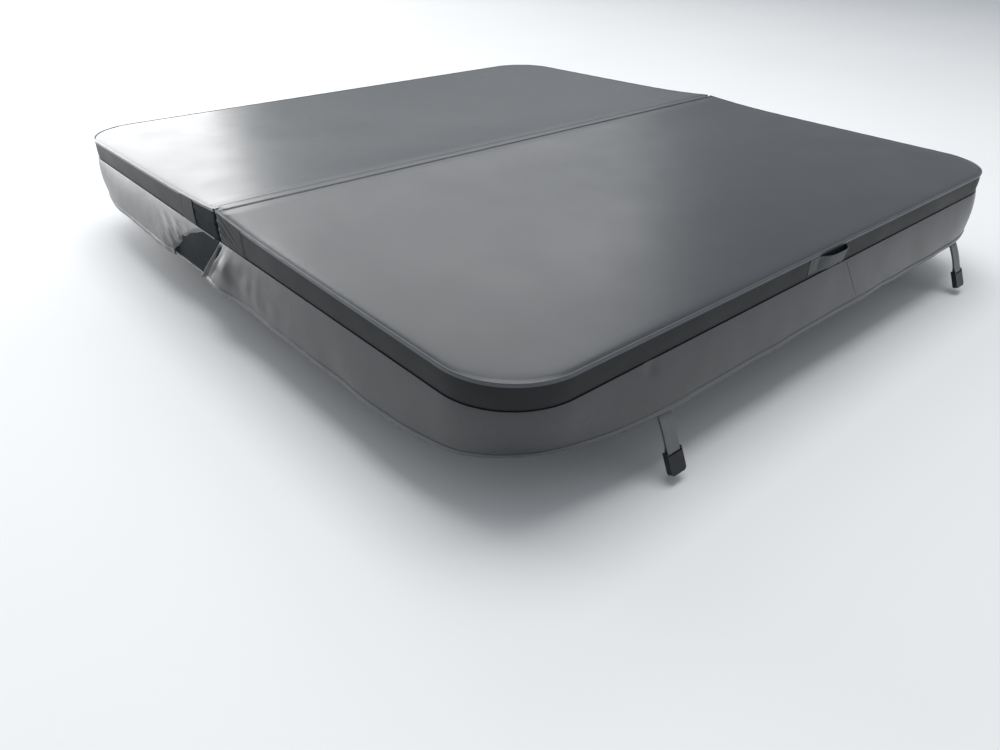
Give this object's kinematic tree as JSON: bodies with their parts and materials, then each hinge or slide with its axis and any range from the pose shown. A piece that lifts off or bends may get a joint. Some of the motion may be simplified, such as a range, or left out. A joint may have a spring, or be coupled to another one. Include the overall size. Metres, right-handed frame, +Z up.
{
  "type": "spa cover",
  "caption": "Bi-fold insulated spa cover in two tapered halves with a sewn hinge, hanging skirt, grab handles and tie-down straps with buckles.",
  "frame": {"origin": "on the underside, at the middle of the fold line", "axes": "+Z up; Y along the fold line; +X towards the front half, the one that lifts"},
  "size_m": [2.285, 2.05, 0.3331],
  "materials": {
    "top_vinyl": "satin",
    "band_vinyl": "satin",
    "piping_vinyl": "satin",
    "skirt_vinyl": "satin",
    "hem_vinyl": "satin",
    "tongue_vinyl": "satin",
    "handle_vinyl": "satin",
    "underside_vinyl": "matte",
    "foam": "matte",
    "film": "matte",
    "galvanised_steel": "satin",
    "eyelet_brass": "satin",
    "zipper_nylon": "matte",
    "zipper_metal": "satin",
    "webbing": "satin",
    "buckle_plastic": "satin"
  },
  "bodies": {
    "front_half": {"front_foam_core": "foam", "front_vapour_barrier": "film", "front_stiffener_channel": "galvanised_steel", "front_top_panel": "top_vinyl", "front_side_band": "band_vinyl", "front_bottom_panel": "underside_vinyl", "front_drain_eyelets": "eyelet_brass", "front_fold_wall": "band_vinyl", "front_zipper_tape": "zipper_nylon", "front_hinge_strip": "top_vinyl", "front_piping": "piping_vinyl", "front_end_patches": "band_vinyl", "front_skirt": "skirt_vinyl", "front_skirt_hem": "hem_vinyl", "front_handle": "handle_vinyl", "front_strap_anchors": "webbing"},
    "rear_half": {"rear_foam_core": "foam", "rear_vapour_barrier": "film", "rear_stiffener_channel": "galvanised_steel", "rear_top_panel": "top_vinyl", "rear_side_band": "band_vinyl", "rear_bottom_panel": "underside_vinyl", "rear_drain_eyelets": "eyelet_brass", "rear_fold_wall": "band_vinyl", "rear_zipper_tape": "zipper_nylon", "rear_hinge_strip": "top_vinyl", "rear_piping": "piping_vinyl", "rear_end_patches": "band_vinyl", "rear_skirt": "skirt_vinyl", "rear_skirt_hem": "hem_vinyl", "rear_handle": "handle_vinyl", "rear_strap_anchors": "webbing", "rear_skirt_tongues": "tongue_vinyl", "steam_stop_gasket": "band_vinyl"},
    "front_strap_left": {"front_strap_left": "webbing"},
    "front_buckle_left": {"front_buckle_left": "buckle_plastic"},
    "front_strap_right": {"front_strap_right": "webbing"},
    "front_buckle_right": {"front_buckle_right": "buckle_plastic"},
    "front_zipper_slider": {"front_zipper_slider": "zipper_metal"},
    "front_zipper_pull": {"front_zipper_pull": "zipper_metal"},
    "rear_strap_left": {"rear_strap_left": "webbing"},
    "rear_buckle_left": {"rear_buckle_left": "buckle_plastic"},
    "rear_strap_right": {"rear_strap_right": "webbing"},
    "rear_buckle_right": {"rear_buckle_right": "buckle_plastic"},
    "rear_zipper_slider": {"rear_zipper_slider": "zipper_metal"},
    "rear_zipper_pull": {"rear_zipper_pull": "zipper_metal"}
  },
  "joints": [
    {"name": "fold", "type": "hinge", "parent": "rear_half", "child": "front_half", "pos_m": [0, 0, 0.0815], "axis": [0, -1, 0], "range_deg": [0, 182]},
    {"name": "front_strap_left_swing", "type": "hinge", "parent": "front_half", "child": "front_strap_left", "pos_m": [1.0837, -0.59, -0.1305], "axis": [0, -1, 0], "range_deg": [-54, 66], "stiffness_Nm_per_rad": 0.1},
    {"name": "front_buckle_left_pivot", "type": "hinge", "parent": "front_strap_left", "child": "front_buckle_left", "pos_m": [1.11705, -0.59, -0.20541], "axis": [0, -1, 0], "range_deg": [-75, 75]},
    {"name": "front_strap_right_swing", "type": "hinge", "parent": "front_half", "child": "front_strap_right", "pos_m": [1.0837, 0.76, -0.1305], "axis": [0, -1, 0], "range_deg": [-54, 66], "stiffness_Nm_per_rad": 0.1},
    {"name": "front_buckle_right_pivot", "type": "hinge", "parent": "front_strap_right", "child": "front_buckle_right", "pos_m": [1.11705, 0.76, -0.20541], "axis": [0, -1, 0], "range_deg": [-75, 75]},
    {"name": "front_zipper_slider_run", "type": "slide", "parent": "front_half", "child": "front_zipper_slider", "axis": [0, 1, 0], "range_m": [-1.9, 0]},
    {"name": "front_zipper_pull_swing", "type": "hinge", "parent": "front_zipper_slider", "child": "front_zipper_pull", "pos_m": [0.06, 0.975, -0.0049], "axis": [1, 0, 0], "range_deg": [-80, 80]},
    {"name": "rear_strap_left_swing", "type": "hinge", "parent": "rear_half", "child": "rear_strap_left", "pos_m": [-1.0837, -0.59, -0.1305], "axis": [0, 1, 0], "range_deg": [-54, 66], "stiffness_Nm_per_rad": 0.1},
    {"name": "rear_buckle_left_pivot", "type": "hinge", "parent": "rear_strap_left", "child": "rear_buckle_left", "pos_m": [-1.11705, -0.59, -0.20541], "axis": [0, 1, 0], "range_deg": [-75, 75]},
    {"name": "rear_strap_right_swing", "type": "hinge", "parent": "rear_half", "child": "rear_strap_right", "pos_m": [-1.0837, 0.76, -0.1305], "axis": [0, 1, 0], "range_deg": [-54, 66], "stiffness_Nm_per_rad": 0.1},
    {"name": "rear_buckle_right_pivot", "type": "hinge", "parent": "rear_strap_right", "child": "rear_buckle_right", "pos_m": [-1.11705, 0.76, -0.20541], "axis": [0, 1, 0], "range_deg": [-75, 75]},
    {"name": "rear_zipper_slider_run", "type": "slide", "parent": "rear_half", "child": "rear_zipper_slider", "axis": [0, 1, 0], "range_m": [-1.9, 0]},
    {"name": "rear_zipper_pull_swing", "type": "hinge", "parent": "rear_zipper_slider", "child": "rear_zipper_pull", "pos_m": [-0.06, 0.975, -0.0049], "axis": [1, 0, 0], "range_deg": [-80, 80]}
  ]
}
